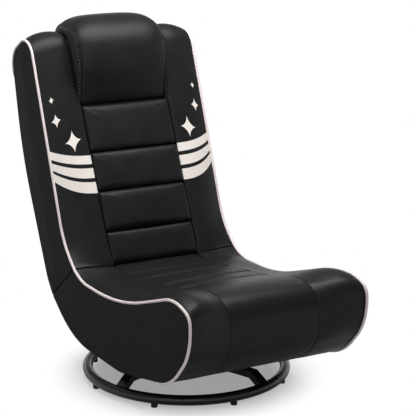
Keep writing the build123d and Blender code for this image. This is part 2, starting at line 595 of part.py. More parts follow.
lip_under = (SEAT_PIPING_END, SEAT_EDGE[5][1] - slope * (SEAT_EDGE[5][0] - SEAT_PIPING_END))
seat_pipe_start = (0.19 * SEAT_EDGE[0][0] + 4.5, 4.0 + 0.19 * (SEAT_EDGE[0][1] - 4.0))
pipes_seat = []
for side, name in ((-1, "left"), (1, "right")):
    x_edge = side * EDGE_X
    x_mid = side * (EDGE_X + SEAT_IN) / 2
    path = rounded_path(on_seat, x_edge, seat_pipe_start, SEAT_EDGE, lip_under)
    save(tube(path, PIPING_R), f"seat_piping_{name}")
    groove = tube(path, PIPING_R + PIPING_CLEAR)
    pipes_seat.append(groove)
    bolster = loft([
        seat_section(x_edge, CREASE_OUT, SEAT_EDGE),
        seat_section(x_mid, CREASE_MID, seat_mid),
        seat_section(side * SEAT_IN, CREASE_IN, SEAT_INNER),
    ])
    save(bolster - seat_cuts - groove, f"seat_bolster_{name}")
    panel = extrude(seat_side(side * (EDGE_X + SEAM_GAP)), SIDE_PANEL_T - SEAM_GAP, dir=(side, 0, 0))
    panel = panel - groove - fold_room - mitre_room
    save(max(panel.solids(), key=lambda piece: piece.volume), f"seat_side_panel_{name}")

# Seat: channelled centre
seat_half = SEAT_IN - SEAM_GAP
seat_crowned = [(a, b + SEAT_CROWN, r) for a, b, r in SEAT_INNER[:4]] + SEAT_INNER[4:]
centre = loft([seat_section(-seat_half, CREASE_IN, SEAT_INNER), seat_section(0, CREASE_IN, seat_crowned),
               seat_section(seat_half, CREASE_IN, SEAT_INNER)])
for fore in SEAT_CHANNELS:
    pair = [(p, q) for p, q in zip(SEAT_INNER[:-1], SEAT_INNER[1:]) if p[0] <= fore <= q[0]][0]
    rise = pair[0][1] + (pair[1][1] - pair[0][1]) * (fore - pair[0][0]) / (pair[1][0] - pair[0][0])
    spot = on_seat(0, fore, rise + CHANNEL_R - CHANNEL_DEPTH)
    centre -= rod_x(CHANNEL_R, -SEAT_IN, SEAT_IN, spot.Y, spot.Z)
save(centre - seat_cuts, "seat_centre_cushion")

# Seat: cover under the foam, clamped between the plate and the bars
low_start = (SEAT_PIPING_END - 4.0, lip_under[1] + slope * -4.0)
outside = rounded_path(on_seat, -EDGE_X, low_start, under, seat_end)
thin = [(a, b + COVER_T, r) for a, b, r in under]
low_in = (low_start[0], low_start[1] + COVER_T)
inside = rounded_path(on_seat, -EDGE_X, low_in, thin, mitre_on_seat(MITRE_LEN - COVER_T))
closing = [Line(outside @ 0, inside @ 0).edge(), Line(outside @ 1, inside @ 1).edge()]
cover = extrude(Face(Wire(outside.edges() + inside.edges() + closing)), 2 * EDGE_X, dir=(1, 0, 0))
save(cover - bolt_holes - pipes_seat - mitre_room, "seat_bottom_cover")
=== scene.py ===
import bpy
import bmesh
import math
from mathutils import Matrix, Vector, noise
from mathutils.bvhtree import BVHTree


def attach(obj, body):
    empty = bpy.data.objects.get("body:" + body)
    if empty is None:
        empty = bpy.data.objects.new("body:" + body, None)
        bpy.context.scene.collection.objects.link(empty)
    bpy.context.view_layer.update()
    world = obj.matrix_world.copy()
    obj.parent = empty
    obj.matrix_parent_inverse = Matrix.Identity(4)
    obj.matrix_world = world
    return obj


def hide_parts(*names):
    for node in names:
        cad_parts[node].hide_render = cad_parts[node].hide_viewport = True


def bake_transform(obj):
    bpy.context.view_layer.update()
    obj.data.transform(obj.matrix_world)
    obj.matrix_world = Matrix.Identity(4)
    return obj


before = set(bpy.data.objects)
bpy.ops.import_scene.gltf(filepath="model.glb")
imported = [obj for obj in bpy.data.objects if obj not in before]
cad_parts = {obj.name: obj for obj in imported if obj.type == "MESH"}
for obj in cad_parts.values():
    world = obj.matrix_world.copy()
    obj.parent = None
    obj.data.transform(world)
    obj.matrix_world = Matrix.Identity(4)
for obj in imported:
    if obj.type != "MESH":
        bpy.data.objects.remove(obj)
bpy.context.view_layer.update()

# Floor ring, cross of arms and hub.
# One bent steel tube with four flat-sided arms welded in, each bent up beside the
# ring; the powder coat is a smooth, fairly glossy black that catches a line of light.


def new_material(name):
    """A material, its nodes, its shader, and a coordinate output that gives metres in the chair's frame."""
    made = bpy.data.materials.new(name)
    made.use_nodes = True
    tree = made.node_tree
    place = tree.nodes.new("ShaderNodeTexCoord")
    return made, tree, tree.nodes["Principled BSDF"], place.outputs["Object"]


def noise_node(tree, place, scale, detail=3.0, rough=0.55):
    """A cloudy texture value, finer as the scale rises."""
    node = tree.nodes.new("ShaderNodeTexNoise")
    node.inputs["Scale"].default_value = scale
    node.inputs["Detail"].default_value = detail
    node.inputs["Roughness"].default_value = rough
    tree.links.new(place, node.inputs["Vector"])
    return node.outputs["Fac"]


def between(tree, value, low, high):
    """Stretches a 0 to 1 value over low to high."""
    node = tree.nodes.new("ShaderNodeMapRange")
    node.inputs["To Min"].default_value = low
    node.inputs["To Max"].default_value = high
    tree.links.new(value, node.inputs["Value"])
    return node.outputs["Result"]


def shades(tree, value, dark, pale):
    """Runs between two colours as a texture value rises."""
    ramp = tree.nodes.new("ShaderNodeValToRGB")
    ramp.color_ramp.elements[0].position = 0.3
    ramp.color_ramp.elements[1].position = 0.7
    ramp.color_ramp.elements[0].color = (*dark, 1)
    ramp.color_ramp.elements[1].color = (*pale, 1)
    tree.links.new(value, ramp.inputs["Fac"])
    return ramp.outputs["Color"]


def bump(tree, height, strength, distance, under=None):
    """Fine relief from a texture value, on top of another relief where one is given."""
    node = tree.nodes.new("ShaderNodeBump")
    node.inputs["Strength"].default_value = strength
    node.inputs["Distance"].default_value = distance
    tree.links.new(height, node.inputs["Height"])
    if under is not None:
        tree.links.new(under, node.inputs["Normal"])
    return node.outputs["Normal"]


def dress(node, material):
    """Gives a carried-over steel node its finish."""
    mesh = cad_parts[node].data
    mesh.materials.clear()
    mesh.materials.append(material)


black_coat, tree, shader, place = new_material("black_powder_coat")
speck = noise_node(tree, place, 900, 2)
drift = noise_node(tree, place, 14, 2)
coat_colour = shades(tree, drift, (0.006, 0.006, 0.0064), (0.010, 0.010, 0.0104))
tree.links.new(coat_colour, shader.inputs["Base Color"])
tree.links.new(between(tree, speck, 0.20, 0.30), shader.inputs["Roughness"])
tree.links.new(bump(tree, speck, 0.25, 0.0002), shader.inputs["Normal"])
for node in ["base_ring", "base_hub"] + [f"base_arm_{k}" for k in range(1, 5)]:
    dress(node, black_coat)

# Feet under the ring.
# Small moulded rubber studs pushed into holes in the tube, dull and dusty black.
foot_rubber, tree, shader, place = new_material("foot_rubber")
dust = noise_node(tree, place, 220, 4)
tree.links.new(shades(tree, dust, (0.010, 0.010, 0.010), (0.022, 0.021, 0.020)), shader.inputs["Base Color"])
tree.links.new(between(tree, dust, 0.72, 0.9), shader.inputs["Roughness"])
tree.links.new(bump(tree, dust, 0.3, 0.0003), shader.inputs["Normal"])
for k in range(1, 9):
    dress(f"foot_{k}", foot_rubber)

# Swivel, frame and hinge steel.
# Turned and zinc plated pieces are bright with fine turning marks; the pressed plate,
# bars, tubes and hinge leaves are dipped in thin black paint; the bush is nylon.
bright_steel, tree, shader, place = new_material("zinc_plated_steel")
turning = noise_node(tree, place, 1500, 2)
tree.links.new(shades(tree, turning, (0.42, 0.42, 0.43), (0.56, 0.56, 0.55)), shader.inputs["Base Color"])
tree.links.new(between(tree, turning, 0.28, 0.42), shader.inputs["Roughness"])
tree.links.new(bump(tree, turning, 0.15, 0.0001), shader.inputs["Normal"])
shader.inputs["Metallic"].default_value = 1.0
for node in ["thrust_race_lower", "thrust_race_upper", "thrust_balls", "swivel_spindle", "swivel_bolt",
             "plate_bolts", "hinge_pin_left", "hinge_pin_right"]:
    dress(node, bright_steel)
dipped_steel, tree, shader, place = new_material("dipped_black_steel")
runs = noise_node(tree, place, 60, 4)
tree.links.new(shades(tree, runs, (0.012, 0.012, 0.012), (0.024, 0.024, 0.023)), shader.inputs["Base Color"])
tree.links.new(between(tree, runs, 0.4, 0.6), shader.inputs["Roughness"])
tree.links.new(bump(tree, runs, 0.2, 0.0005), shader.inputs["Normal"])
for node in ["swivel_plate", "seat_crossbar_front", "seat_crossbar_rear", "seat_frame",
             "back_frame", "back_crossbar", "seat_hinge_leaf_left", "seat_hinge_leaf_right",
             "back_hinge_leaf_left", "back_hinge_leaf_right"]:
    dress(node, dipped_steel)
nylon, tree, shader, place = new_material("bush_nylon")
waxy = noise_node(tree, place, 300, 2)
tree.links.new(shades(tree, waxy, (0.60, 0.59, 0.53), (0.68, 0.67, 0.61)), shader.inputs["Base Color"])
tree.links.new(between(tree, waxy, 0.4, 0.55), shader.inputs["Roughness"])
dress("swivel_bush", nylon)

# Side cushions of the seat and back.
# Black pebble-grain leatherette over foam: on each side one cover runs from under
# the lip, along the seat, through the fold and up over the top of the back.
FOLD_Y = 165.0
FOLD_Z = 254.0
LEAN = math.radians(69.4)
MITRE = math.radians(37.5)
EDGE_X = 230.0
SEAT_SEAM_X = 116.0
BACK_SEAM_X = 124.0
SEAT_CROWNS = [0, 2, 12, 13, 10, 8]
BACK_CROWN = 9.0
TOP_CROWNS = [0, 20, 12]
# Corners of the covers' edges: forward of the fold and above it on the seat, up
# from the fold and behind it on the back, and last the radius of the bend there.
LIP_START = (436, -149.5)
LIP_PIPED = [(513, -133.5, 172), (605.5, -32, 135), (603, 51, 30),
             (533, 76, 135), (258, -18, 780), (48, -17, 150)]
LIP_SEAMED = [(513, -133.5, 160), (588, -47, 104), (570, 58, 60),
              (476, 63, 288), (339, 33, 565), (62, -5, 150)]
BACK_PIPED = [(74, 33, 200), (613, 32, 50), (592, 164, 56)]
BACK_SEAMED = [(84, 0.7, 200), (624, 34, 50), (602, 162.5, 56)]
REAR_SEAM = (532, 173)
BEND_STEP = 0.6              # bends are stepped this much finer than straight runs
SEAM_DEEP = 1.8
SEAM_DEEP_ON_RISE = 0.2
LIP_RISE = (372, 486)        # where the seat rises to the lip, forward of the fold
SIDE_COLUMNS = 24
FOLD_NEAR = 45.0             # rows crowd together this near to the fold
FOLD_ROWS = 20
SEAT_COVER_ROWS = 170
BACK_COVER_ROWS = 190
FOLD_SPAN = 13               # which span of a side cover's path is the fold
PILLOW_FROM = 395            # along a side cover from the fold, where the pillow begins beside it
TUCK = 14                    # covers turn down this far into their seams


def on_seat(fore, up, bend=0.0):
    """Millimetres forward of the fold axis and above it, as (y, z, bend radius)."""
    return (FOLD_Y - fore, FOLD_Z + up, bend)


def on_back(up, rear, bend=0.0):
    """Millimetres up the back from the fold axis and behind it, as (y, z, bend radius)."""
    return (FOLD_Y + up * math.cos(LEAN) + rear * math.sin(LEAN),
            FOLD_Z + up * math.sin(LEAN) - rear * math.cos(LEAN), bend)


def on_mitre(along, off=0.0, bend=0.0):
    """Millimetres down the mitre from the fold axis, off it towards the back."""
    return (FOLD_Y + along * math.cos(MITRE) + off * math.sin(MITRE),
            FOLD_Z - along * math.sin(MITRE) + off * math.cos(MITRE), bend)


def bent_spans(corners):
    """Straight runs and round bends of a path through (y, z, bend radius) corners."""
    points = [Vector(corner[:2]) for corner in corners]
    spans = []
    last = points[0]
    for i in range(1, len(points) - 1):
        to_last = (points[i - 1] - points[i]).normalized()
        to_next = (points[i + 1] - points[i]).normalized()
        half = to_last.angle(to_next) / 2
        reach = corners[i][2] / math.tan(half)
        spans.append((last, points[i] + to_last * reach, None, 1.0))
        spans.append((points[i] + to_last * reach, points[i] + to_next * reach, points[i], math.sin(half)))
        last = points[i] + to_next * reach
    return spans + [(last, points[-1], None, 1.0)]


def span_counts(corners, step):
    """How many steps each straight run and bend of a path is given."""
    counts = []
    for a, b, corner, weight in bent_spans(corners):
        counts.append(max(3, round((b - a).length / (step if corner is None else step * BEND_STEP))))
    return counts


def follow(corners, counts):
    """Points along the path, with a set count on each span so that like paths can be joined."""
    spans = bent_spans(corners)
    line = [spans[0][0]]
    for (a, b, corner, weight), count in zip(spans, counts):
        for k in range(1, count + 1):
            f = k / count
            if corner is None:
                line.append(a.lerp(b, f))
                continue
            pull = 2 * f * (1 - f) * weight
            line.append((a * (1 - f) ** 2 + corner * pull + b * f * f) / ((1 - f) ** 2 + pull + f * f))
    return line


def lengths(line, start_row=0):
    """Distance of each point along a line from one of its points."""
    total = [0.0]
    for a, b in zip(line[:-1], line[1:]):
        total.append(total[-1] + (b - a).length)
    return [value - total[start_row] for value in total]


def inward(line, hand=1):
    """Unit vectors into the foam at each point of a path."""
    ways = []
    for i in range(len(line)):
        way = (line[min(i + 1, len(line) - 1)] - line[max(i - 1, 0)]).normalized()
        ways.append(Vector((way.y, -way.x)) * hand)
    return ways


def edge_roll(from_edge, wide, deep):
    """How far a cover dips where it turns down into a seam."""
    if from_edge >= wide:
        return 0.0
    share = 1 - max(0.0, from_edge) / wide
    return deep * (1 - math.sqrt(1 - share * share))


def groove(off, deep, half):
    """How deep a sewn crease is at a distance off its stitches."""
    return deep * math.exp(-(off / half) ** 2)


def ease(value):
    """0 to 1, with a soft start and end."""
    value = min(1.0, max(0.0, value))
    return value * value * (3 - 2 * value)


def eased_shares(count):
    """Shares from 0 to 1 that crowd towards both ends."""
    return [0.5 - 0.5 * math.cos(math.pi * k / count) for k in range(count + 1)]


def slack(x, y, z, size):
    """The slight unevenness of a sewn cover over foam, in millimetres."""
    spot = Vector((x, y, z)) / 1000
    return size * (0.7 * noise.noise(spot * 17) + 0.35 * noise.noise(spot * 43 + Vector((3, 1, 7))))


def grid_piece(name, rows, flip=False):
    """A smooth cover through rows of points in millimetres."""
    mesh = bpy.data.meshes.new(name)
    wide = len(rows[0])
    faces = []
    for i in range(len(rows) - 1):
        for j in range(wide - 1):
            face = (i * wide + j, i * wide + j + 1, (i + 1) * wide + j + 1, (i + 1) * wide + j)
            faces.append(face[::-1] if flip else face)
    mesh.from_pydata([Vector(p) / 1000 for row in rows for p in row], [], faces)
    mesh.shade_smooth()
    piece = bpy.data.objects.new(name, mesh)
    bpy.context.scene.collection.objects.link(piece)
    return piece


def finish_piece(piece, material, body, slot, *nodes):
    """Gives a piece its material and the body it moves with, and hides the solids it stands for."""
    piece.data.materials.clear()
    piece.data.materials.append(material)
    if body == "fold":
        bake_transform(piece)
    else:
        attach(piece, body)
    if nodes:
        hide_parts(*nodes)
    return piece


def leatherette(name, dark, pale, gloss, shine):
    """Embossed pebble grain with faint hand creases and slow changes of sheen."""
    made, tree, shader, place = new_material(name)
    pebble = tree.nodes.new("ShaderNodeTexVoronoi")
    pebble.feature = "DISTANCE_TO_EDGE"
    pebble.inputs["Scale"].default_value = 760
    tree.links.new(place, pebble.inputs["Vector"])
    sheen = noise_node(tree, place, 22, 3)
    crease = noise_node(tree, place, 80, 5, 0.62)
    tree.links.new(shades(tree, sheen, dark, pale), shader.inputs["Base Color"])
    tree.links.new(between(tree, crease, *gloss), shader.inputs["Roughness"])
    soft = bump(tree, crease, 0.10, 0.003)
    tree.links.new(bump(tree, pebble.outputs["Distance"], 0.25, 0.0005, soft), shader.inputs["Normal"])
    shader.inputs["Specular IOR Level"].default_value = shine
    return made


black_leatherette = leatherette("black_leatherette", (0.0088, 0.0088, 0.0091), (0.0132, 0.0132, 0.0136),
                                gloss=(0.36, 0.46), shine=0.15)


def side_corners(share):
    """Path of a side cover, from its inner seam at share 0 to its piping at share 1."""
    full = 4 * share * (1 - share)
    swell = 6.75 * share * share * (1 - share)
    corners = [on_seat(*LIP_START)]
    for seam, pipe, crown in zip(LIP_SEAMED, LIP_PIPED, SEAT_CROWNS):
        fore, up, bend = (a + (b - a) * share for a, b in zip(seam, pipe))
        corners.append(on_seat(fore, up + crown * swell, bend * (1 - 0.09 * full)))
    # The corner in the fold itself is sharp at the seam and round at the piping.
    corners.append(on_seat(9 - 3.5 * share, 0.5 + 3.8 * share, 4 + 90 * share * share))
    for k, (seam, pipe, crown) in enumerate(zip(BACK_SEAMED, BACK_PIPED, TOP_CROWNS)):
        up, rear, bend = (a + (b - a) * share for a, b in zip(seam, pipe))
        rounder = 14 * full if k == 1 else 0
        proud = BACK_CROWN * full if k < 2 else 0
        corners.append(on_back(up + crown * full, rear - proud, bend + rounder))
    return corners + [on_back(*REAR_SEAM)]


def seam_depth(fore):
    """The seat's seams are drawn down behind and over the lip, and lie flat on its rise between."""
    on_rise = ease((fore - LIP_RISE[0]) / 24) * ease((LIP_RISE[1] - fore) / 40)
    return SEAM_DEEP - (SEAM_DEEP - SEAM_DEEP_ON_RISE) * on_rise


def close_at_fold(line, run):
    """Rows along a side cover that crowd together at the fold, where the seam is."""
    near = []
    for k in range(-FOLD_ROWS, FOLD_ROWS + 1):
        near.append(FOLD_NEAR * (0.2 * k / FOLD_ROWS + 0.8 * (k / FOLD_ROWS) ** 3))
    marks = [run[0] + (near[0] - run[0]) * k / SEAT_COVER_ROWS for k in range(SEAT_COVER_ROWS)] + near
    for k in range(1, BACK_COVER_ROWS + 1):
        marks.append(near[-1] + (run[-1] - near[-1]) * k / BACK_COVER_ROWS)
    points = []
    i = 0
    for mark in marks:
        while i < len(run) - 2 and run[i + 1] < mark:
            i += 1
        points.append(line[i].lerp(line[i + 1], (mark - run[i]) / (run[i + 1] - run[i])))
    return points, marks


side_counts = span_counts(side_corners(1.0), 3.0)
side_counts[FOLD_SPAN] = 40
fold_row = sum(side_counts[:FOLD_SPAN]) + side_counts[FOLD_SPAN] // 2
side_covers = {}
for side, name in ((-1, "left"), (1, "right")):
    columns = []
    for share in eased_shares(SIDE_COLUMNS):
        line = follow(side_corners(share), side_counts)
        line, run = close_at_fold(line, lengths(line, fold_row))
        ways = inward(line)
        column = []
        for p, way, along in zip(line, ways, run):
            seam_x = SEAT_SEAM_X + (BACK_SEAM_X - SEAT_SEAM_X) * ease(along / 120 + 0.5)
            wide = EDGE_X - seam_x
            x = seam_x + share * wide
            fine = ease(-along / 60)
            beside_pillow = ease((along - PILLOW_FROM) / 45)
            roll_wide = 7 - 3 * fine + 9 * beside_pillow
            roll_deep = 5 + (seam_depth(FOLD_Y - p.x) - 5) * fine + 6 * beside_pillow
            dip = max(edge_roll(share * wide, roll_wide, roll_deep), edge_roll((1 - share) * wide, 6, 2.4))
            dip = max(dip, edge_roll(along - run[0], 8, 4), edge_roll(run[-1] - along, 8, 4))
            dip += groove(along, 3.6, 1.5) + groove(along, 1.4, 7) * (1 - share)
            dip -= slack(side * x, p.x, p.y, 0.7 * min(1, 4 * share * (1 - share)))
            spot = p + way * dip
            column.append((side * x, spot.x, spot.y))
        if share in (0.0, 1.0):
            skirt = [(x, p.x + way.x * TUCK, p.y + way.y * TUCK)
                     for (x, *_), p, way in zip(column, line, ways)]
            columns += [skirt, column] if share == 0.0 else [column, skirt]
        else:
            columns.append(column)
    cover = grid_piece(f"side_cushion_{name}", columns, flip=side > 0)
    finish_piece(cover, black_leatherette, "fold", "leatherette_on_foam",
                 f"seat_bolster_{name}", f"back_bolster_{name}")
    faces = [face.vertices for face in cover.data.polygons]
    side_covers[side] = BVHTree.FromPolygons([v.co for v in cover.data.vertices], faces)

# Printed stars and stripes.
# Off-white ink screened on the leatherette of the back's side cushions: three plain
# four-pointed sparkles and, below them, three curved bands from the seam to the piping.
STARS = [(204, 438.5, 7, 10), (200.5, 385, 13, 18.5), (166.5, 328, 23, 29.5)]
STAR_STEPS = 64
STAR_PINCH = 3.2
STAR_SLANT = 0.18
BANDS = [((288, 311), (265.5, 290)), ((255, 281), (229, 262.5)), ((219, 255), (190, 233))]
BAND_STEPS = 40
BAND_BOW = 2.5
BAND_LONG = 103
PRINT_SHIFT = {-1: -4.0, 1: 3.0}     # the left side is printed a little lower than the right
INK_FROM = 60                # the ink is cast on to the cover from this far in front of the back
INK_THICK = 0.0004
ink, tree, shader, place = new_material("pale_ink")
wear = noise_node(tree, place, 260, 5)
tree.links.new(shades(tree, wear, (0.80, 0.74, 0.69), (0.88, 0.82, 0.77)), shader.inputs["Base Color"])
tree.links.new(between(tree, wear, 0.45, 0.62), shader.inputs["Roughness"])
tree.links.new(bump(tree, noise_node(tree, place, 700, 2), 0.2, 0.0003), shader.inputs["Normal"])
shader.inputs["Specular IOR Level"].default_value = 0.3
OUT_OF_BACK = Vector((0, -math.sin(LEAN), math.cos(LEAN)))


def printed(side, x, up):
    """A point of ink on the cover, given across and up the back."""
    start = Vector((side * x, *on_back(up + PRINT_SHIFT[side], -INK_FROM)[:2])) / 1000
    spot = side_covers[side].ray_cast(start, -OUT_OF_BACK)[0]
    return (spot + OUT_OF_BACK * INK_THICK) * 1000


for side, name in ((-1, "left"), (1, "right")):
    for k, (x, up, half_x, half_up) in enumerate(STARS, start=1):
        rings = []
        for ring in (0.02, 0.25, 0.5, 0.75, 0.9, 1.0):
            points = []
            for step in range(STAR_STEPS + 1):
                turn = 2 * math.pi * step / STAR_STEPS
                out = ring * half_x * math.copysign(abs(math.cos(turn)) ** STAR_PINCH, math.cos(turn))
                rise = ring * half_up * math.copysign(abs(math.sin(turn)) ** STAR_PINCH, math.sin(turn))
                points.append(printed(side, x + out, up + rise - STAR_SLANT * out))
            rings.append(points)
        star = grid_piece(f"printed_star_{name}_{k}", rings, flip=side < 0)
        finish_piece(star, ink, "back", "piping_pale")
    for k, ((top_in, top_out), (low_in, low_out)) in enumerate(BANDS, start=1):
        rows = []
        for step in range(BAND_STEPS + 1):
            share = step / BAND_STEPS
            bow = share ** BAND_BOW
            top = top_in + (top_out - top_in) * bow
            low = low_in + (low_out - low_in) * bow
            x = BACK_SEAM_X + 0.8 + BAND_LONG * share
            rows.append([printed(side, x, low + (top - low) * j / 6) for j in range(7)])
        band = grid_piece(f"printed_band_{name}_{k}", rows, flip=side < 0)
        finish_piece(band, ink, "back", "piping_pale")

# Channelled middle of the seat.
# The same leatherette, stitched through the foam in four rows behind the lip, so
# that soft ribs stand between the rows; it tucks into the fold below the pads.
SEAT_ROWS = [79, 165, 275, 352]
MIDDLE_COLUMNS = 40
MIDDLE_CROWN = 5
MIDDLE_RISES = (0, 0, 0.3, 0.3, 0.8, 0.4)


def middle_corners(across):
    """Path of the seat's middle, from -1 at the left seam to 1 at the right one."""
    crown = MIDDLE_CROWN * (1 - across * across)
    corners = [on_seat(*LIP_START)]
    for (fore, up, bend), rise in zip(LIP_SEAMED, MIDDLE_RISES):
        corners.append(on_seat(fore, up + crown * rise, bend))
    return corners + [on_mitre(4, 0, 3), on_back(15, 10, 8), on_back(60, 20)]


middle_counts = span_counts(middle_corners(0), 3.0)
columns = []
for share in eased_shares(MIDDLE_COLUMNS):
    across = 2 * share - 1
    x = across * (SEAT_SEAM_X - 0.2)
    line = follow(middle_corners(across), middle_counts)
    run = lengths(line)
    column = []
    ways = inward(line)
    for p, way, along in zip(line, ways, run):
        fore = FOLD_Y - p.x
        dip = edge_roll(SEAT_SEAM_X - abs(x), 4, seam_depth(fore) if fore > 40 else 4)
        dip = max(dip, edge_roll(along, 8, 4))
        if p.y > FOLD_Z - 40 and fore > 0:
            near = min(abs(fore - row) for row in SEAT_ROWS)
            dip += groove(near, 3.6, 3.0) + groove(near, 1.6, 14)
            dip -= noise.noise(Vector((x / 9, fore / 16, 2.0))) * groove(near, 0.5, 16)
        dip -= slack(x, p.x, p.y, 0.6 * (1 - across ** 8))
        spot = p + way * dip
        column.append((x, spot.x, spot.y))
    if abs(across) == 1:
        skirt = [(x, p.x + way.x * TUCK, p.y + way.y * TUCK) for p, way in zip(line, ways)]
        columns += [skirt, column] if across < 0 else [column, skirt]
    else:
        columns.append(column)
middle = grid_piece("seat_channelled_middle", columns, flip=True)
finish_piece(middle, black_leatherette, "fold", "leatherette_on_foam", "seat_centre_cushion")

# Core and top of the back.
# Leatherette over the foam core, seen only behind the pillow at the very top;
# lower down it backs the seams between the pads.
CORE_COLUMNS = 24
corners = [on_back(4, 14), on_back(545, 44), on_back(624, 34, 50), on_back(602, 162.5, 56),
           on_back(*REAR_SEAM)]
line = follow(corners, span_counts(corners, 8.0))
ways = inward(line)
run = lengths(line)
columns = []
for share in eased_shares(CORE_COLUMNS):
    x = (2 * share - 1) * BACK_SEAM_X
    beside = edge_roll(BACK_SEAM_X - abs(x), 8, 5)
    dips = [max(beside, edge_roll(run[-1] - along, 8, 4)) + 0.5 for along in run]
    columns.append([(x, p.x + way.x * dip, p.y + way.y * dip) for p, way, dip in zip(line, ways, dips)])
core_cover = grid_piece("back_core_cover", columns, flip=True)
finish_piece(core_cover, black_leatherette, "back", "leatherette_on_foam", "back_core_foam", "back_pad_5")

# Column of sewn pads on the back.
# Four foam-filled leatherette pads show below the pillow, each nearly flat in
# front with quickly rolled edges, sewn to its neighbours in narrow sunk seams.
PAD_SEAMS = [-2.5, 84, 189, 291, 414]
PAD_SUNK = 9.0
PAD_DEEP = 24.0
PAD_CROWN = 8.5
LOWEST_PAD_CROWN = 4.5
PAD_SIDE_ROLL = 7
PAD_TOP_ROLL = 9
PAD_FOOT_ROLL = 20
PAD_ROWS = 32
PAD_COLUMNS = 52
FILL_STEPS = 20


def pad_line(up):
    """How far behind the fold line the pads' seams lie at a height up the back."""
    (low, low_rear, _), (high, high_rear, _) = BACK_SEAMED[:2]
    return low_rear + (up - low) * (high_rear - low_rear) / (high - low)


def rolled(from_edge, wide):
    """0 at a sewn edge, rising round to 1 over a width."""
    share = 1 - min(1.0, max(0.0, from_edge) / wide)
    return math.sqrt(1 - share * share)


def up_and_rear(p):
    """A point's millimetres up the back from the fold axis, and behind it."""
    return ((p.y - FOLD_Y) * math.cos(LEAN) + (p.z - FOLD_Z) * math.sin(LEAN),
            (p.y - FOLD_Y) * math.sin(LEAN) - (p.z - FOLD_Z) * math.cos(LEAN))


def blow_up(piece, voxel, pressure, most, sewn):
    """Fills a cover by cloth simulation.

    sewn(point) tells what can't move, and no point moves more than most, in millimetres.
    """
    remesh = piece.modifiers.new("remesh", "REMESH")
    remesh.mode = "VOXEL"
    remesh.voxel_size = voxel
    smooth = piece.modifiers.new("smooth", "SMOOTH")
    smooth.factor = 0.5
    smooth.iterations = 4
    scene = bpy.context.scene
    even = bpy.data.meshes.new_from_object(piece.evaluated_get(bpy.context.evaluated_depsgraph_get()))
    piece.modifiers.clear()
    piece.data = even
    start = [v.co.copy() for v in even.vertices]
    held = piece.vertex_groups.new(name="sewn")
    held.add([i for i, co in enumerate(start) if sewn(co * 1000)], 1.0, "REPLACE")
    cloth = piece.modifiers.new("cloth", "CLOTH")
    cloth.point_cache.frame_start = 1
    cloth.point_cache.frame_end = FILL_STEPS
    cloth.settings.quality = 5
    cloth.settings.mass = 0.3
    cloth.settings.tension_stiffness = 12
    cloth.settings.compression_stiffness = 12
    cloth.settings.bending_stiffness = 1.5
    cloth.settings.use_pressure = True
    cloth.settings.uniform_pressure_force = pressure
    cloth.settings.effector_weights.gravity = 0
    cloth.settings.vertex_group_mass = "sewn"
    for step in range(1, FILL_STEPS + 1):
        scene.frame_set(step)
    full = bpy.data.meshes.new_from_object(piece.evaluated_get(bpy.context.evaluated_depsgraph_get()))
    for vertex, was in zip(full.vertices, start):
        move = vertex.co - was
        if move.length > most / 1000:
            vertex.co = was + move * (most / 1000 / move.length)
    piece.modifiers.clear()
    piece.vertex_groups.clear()
    full.shade_smooth()
    piece.data = full
    scene.frame_set(1)


for k, (low, high) in enumerate(zip(PAD_SEAMS[:-1], PAD_SEAMS[1:]), start=1):
    middle_up = (low + high) / 2
    half_up = (high - low) / 2 - 0.4
    half_x = BACK_SEAM_X - 0.6
    crown = LOWEST_PAD_CROWN if k == 1 else PAD_CROWN
    rows = []
    for i in range(PAD_ROWS + 1):
        eta = math.sin(math.pi / 2 * (2 * i / PAD_ROWS - 1))
        up = middle_up + half_up * eta
        row = []
        ends = min(rolled(half_up * (1 - eta), PAD_TOP_ROLL), rolled(half_up * (1 + eta), PAD_FOOT_ROLL))
        for j in range(PAD_COLUMNS + 1):
            xi = math.sin(math.pi / 2 * (2 * j / PAD_COLUMNS - 1))
            x = half_x * xi
            full = min(rolled(half_x - abs(x), PAD_SIDE_ROLL), ends)
            bow = crown * (1 - 0.35 * xi * xi) * (1 - 0.25 * (eta + 0.2) ** 2)
            rear = pad_line(up) + PAD_SUNK - (PAD_SUNK + bow) * full
            rear += slack(x, up, k * 37.0, 0.5 * full)
            row.append((x, *on_back(up, rear)[:2]))
        rows.append(row)
    pad = grid_piece(f"back_pad_cover_{k}", rows, flip=True)
    form = bmesh.new()
    form.from_mesh(pad.data)
    rim = [edge for edge in form.edges if edge.is_boundary]
    walls = bmesh.ops.extrude_edge_only(form, edges=rim)["geom"]
    deep = [v for v in walls if isinstance(v, bmesh.types.BMVert)]
    shift = Vector((0, math.sin(LEAN), -math.cos(LEAN))) * (PAD_DEEP - PAD_SUNK) / 1000
    bmesh.ops.translate(form, verts=deep, vec=shift)
    bmesh.ops.holes_fill(form, edges=[e for e in form.edges if e.is_boundary])
    bmesh.ops.recalc_face_normals(form, faces=form.faces)
    form.to_mesh(pad.data)
    form.free()
    pad.data.shade_smooth()

    def sewn_down(p):
        up, rear = up_and_rear(p)
        return rear > pad_line(up) + 6

    blow_up(pad, voxel=0.0045, pressure=3.0, most=3.0, sewn=sewn_down)
    body = "fold" if k == 1 else "back"
    finish_piece(pad, black_leatherette, body, "leatherette_on_foam", f"back_pad_{k}")

